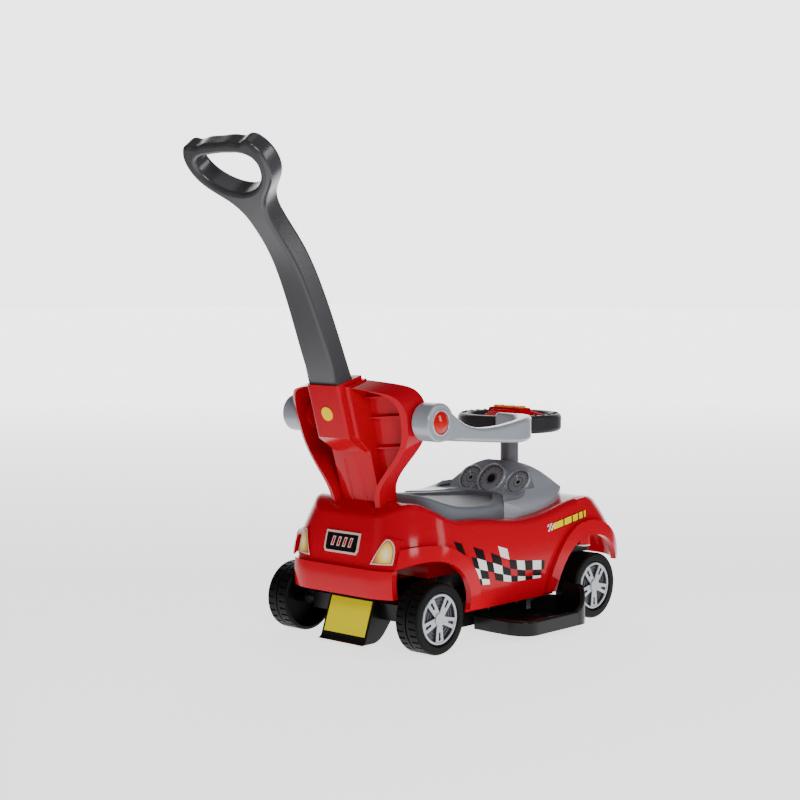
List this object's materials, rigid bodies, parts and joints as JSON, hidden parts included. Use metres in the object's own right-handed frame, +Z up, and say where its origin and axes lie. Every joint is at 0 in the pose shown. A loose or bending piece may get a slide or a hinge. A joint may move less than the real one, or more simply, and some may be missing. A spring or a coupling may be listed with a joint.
{
  "type": "push car with handle",
  "caption": "Toddler's push-along ride-on car with parent handle, backrest, swing-up safety arms, steered front wheels, storage under the seat lid and side footrests.",
  "frame": {"origin": "on the floor, under the middle of the overall box", "axes": "+X to the front of the car, +Y to its left, +Z up"},
  "size_m": [0.8967, 0.4668, 0.844],
  "materials": {
    "red_plastic": "glossy polypropylene",
    "grey_plastic": "satin silver-grey polypropylene",
    "handle_plastic": "dark grey polypropylene, fine grain",
    "black_plastic": "black polypropylene",
    "tyre_plastic": "black polyethylene, satin",
    "silver_plastic": "silver-lacquered ABS",
    "steel": "plain steel",
    "yellow_plastic": "yellow ABS",
    "orange_plastic": "translucent-looking orange ABS",
    "label": "yellow paper label",
    "amber_print": "printed amber foil",
    "plate_print": "printed black foil with a silver frame",
    "clear_print": "printed silver foil",
    "dial_print": "printed dial foil",
    "nylon": "natural nylon",
    "board": "green circuit board",
    "cell": "plain battery wrap"
  },
  "bodies": {
    "car_body": {"body_shell": "red_plastic", "chassis_base": "black_plastic", "rear_foot": "black_plastic", "foot_label": "label", "footrest_left": "black_plastic", "footrest_right": "black_plastic", "seat_surround": "grey_plastic", "console": "grey_plastic", "gauge_dials": "dial_print", "backrest": "red_plastic", "rear_axle": "steel", "rear_axle_caps": "black_plastic", "kingpin_washers": "nylon", "tail_light_left": "amber_print", "tail_light_right": "amber_print", "number_plate": "plate_print", "headlight_left": "clear_print", "headlight_right": "clear_print", "column_bush": "black_plastic", "arm_pin_left": "steel", "arm_pin_right": "steel", "backrest_screws": "steel", "base_screws": "steel"},
    "seat_lid": {"seat_lid": "grey_plastic"},
    "handle": {"handle": "handle_plastic", "handle_button_spring": "steel"},
    "handle_button": {"handle_button": "yellow_plastic"},
    "arm_left": {"arm_left": "grey_plastic", "arm_button_spring_left": "steel"},
    "arm_right": {"arm_right": "grey_plastic", "arm_button_spring_right": "steel"},
    "arm_button_left": {"arm_button_left": "red_plastic"},
    "arm_button_right": {"arm_button_right": "red_plastic"},
    "steering": {"steering_rod": "steel", "column_tube": "black_plastic", "steering_wheel": "black_plastic", "steering_pad": "red_plastic", "battery_door": "black_plastic", "batteries": "cell", "sound_board": "board", "steering_screws": "steel", "sound_button_domes": "steel"},
    "sound_button_left": {"sound_button_left": "orange_plastic"},
    "sound_button_middle": {"sound_button_middle": "orange_plastic"},
    "sound_button_right": {"sound_button_right": "orange_plastic"},
    "tie_bar": {"tie_bar": "black_plastic"},
    "knuckle_left": {"knuckle_left": "black_plastic", "stub_axle_left": "steel"},
    "knuckle_right": {"knuckle_right": "black_plastic", "stub_axle_right": "steel"},
    "wheel_rear_left": {"wheel_rear_left": "tyre_plastic", "hubcap_rear_left": "silver_plastic"},
    "wheel_rear_right": {"wheel_rear_right": "tyre_plastic", "hubcap_rear_right": "silver_plastic"},
    "wheel_front_left": {"wheel_front_left": "tyre_plastic", "hubcap_front_left": "silver_plastic"},
    "wheel_front_right": {"wheel_front_right": "tyre_plastic", "hubcap_front_right": "silver_plastic"}
  },
  "joints": [
    {"name": "seat_lid_hinge", "type": "hinge", "parent": "car_body", "child": "seat_lid", "pos_m": [-0.04261, 0, 0.2195], "axis": [0, -1, 0], "range_deg": [0, 70]},
    {"name": "handle_pull", "type": "slide", "parent": "car_body", "child": "handle", "axis": [-0.279, 0, 0.9603], "range_m": [0, 0.1]},
    {"name": "handle_button_press", "type": "slide", "parent": "car_body", "child": "handle_button", "axis": [0.9603, 0, 0.279], "range_m": [0, 0.004], "stiffness_N_per_m": 600, "deforming": ["handle_button_spring"]},
    {"name": "arm_left_lift", "type": "hinge", "parent": "car_body", "child": "arm_left", "pos_m": [-0.11261, 0.154, 0.385], "axis": [0, -1, 0], "range_deg": [0, 95]},
    {"name": "arm_button_left_press", "type": "slide", "parent": "arm_left", "child": "arm_button_left", "axis": [0, -1, 0], "range_m": [0, 0.004], "stiffness_N_per_m": 600, "deforming": ["arm_button_spring_left"]},
    {"name": "arm_right_lift", "type": "hinge", "parent": "car_body", "child": "arm_right", "pos_m": [-0.11261, -0.154, 0.385], "axis": [0, -1, 0], "range_deg": [0, 95]},
    {"name": "arm_button_right_press", "type": "slide", "parent": "arm_right", "child": "arm_button_right", "axis": [0, 1, 0], "range_m": [0, 0.004], "stiffness_N_per_m": 600, "deforming": ["arm_button_spring_right"]},
    {"name": "steering_turn", "type": "hinge", "parent": "car_body", "child": "steering", "pos_m": [0.27739, 0, 0.2], "axis": [0, 0, 1], "range_deg": [-25, 25]},
    {"name": "sound_button_left_press", "type": "slide", "parent": "steering", "child": "sound_button_left", "axis": [0, 0, -1], "range_m": [0, 0.002], "stiffness_N_per_m": 500, "deforming": ["sound_button_domes"]},
    {"name": "sound_button_middle_press", "type": "slide", "parent": "steering", "child": "sound_button_middle", "axis": [0, 0, -1], "range_m": [0, 0.002], "stiffness_N_per_m": 500, "deforming": ["sound_button_domes"]},
    {"name": "sound_button_right_press", "type": "slide", "parent": "steering", "child": "sound_button_right", "axis": [0, 0, -1], "range_m": [0, 0.002], "stiffness_N_per_m": 500, "deforming": ["sound_button_domes"]},
    {"name": "tie_bar_swing", "type": "hinge", "parent": "steering", "child": "tie_bar", "pos_m": [0.23739, 0, 0.134], "axis": [0, 0, 1], "range_deg": [-25.5, 25.5]},
    {"name": "knuckle_left_turn", "type": "hinge", "parent": "car_body", "child": "knuckle_left", "pos_m": [0.30939, 0.146, 0.145], "axis": [0, 0, 1], "range_deg": [-25.5, 25.5]},
    {"name": "knuckle_right_turn", "type": "hinge", "parent": "car_body", "child": "knuckle_right", "pos_m": [0.30939, -0.146, 0.145], "axis": [0, 0, 1], "range_deg": [-25.5, 25.5]},
    {"name": "wheel_rear_left_spin", "type": "hinge", "parent": "car_body", "child": "wheel_rear_left", "pos_m": [-0.11861, 0.154, 0.06], "axis": [0, 1, 0], "continuous": true},
    {"name": "wheel_rear_right_spin", "type": "hinge", "parent": "car_body", "child": "wheel_rear_right", "pos_m": [-0.11861, -0.154, 0.06], "axis": [0, 1, 0], "continuous": true},
    {"name": "wheel_front_left_spin", "type": "hinge", "parent": "knuckle_left", "child": "wheel_front_left", "pos_m": [0.30939, 0.154, 0.06], "axis": [0, 1, 0], "continuous": true},
    {"name": "wheel_front_right_spin", "type": "hinge", "parent": "knuckle_right", "child": "wheel_front_right", "pos_m": [0.30939, -0.154, 0.06], "axis": [0, 1, 0], "continuous": true}
  ],
  "couplings": [
    {"joint": "knuckle_left_turn", "follows": "steering_turn", "ratio": 1},
    {"joint": "knuckle_right_turn", "follows": "steering_turn", "ratio": 1},
    {"joint": "tie_bar_swing", "follows": "steering_turn", "ratio": -1}
  ]
}
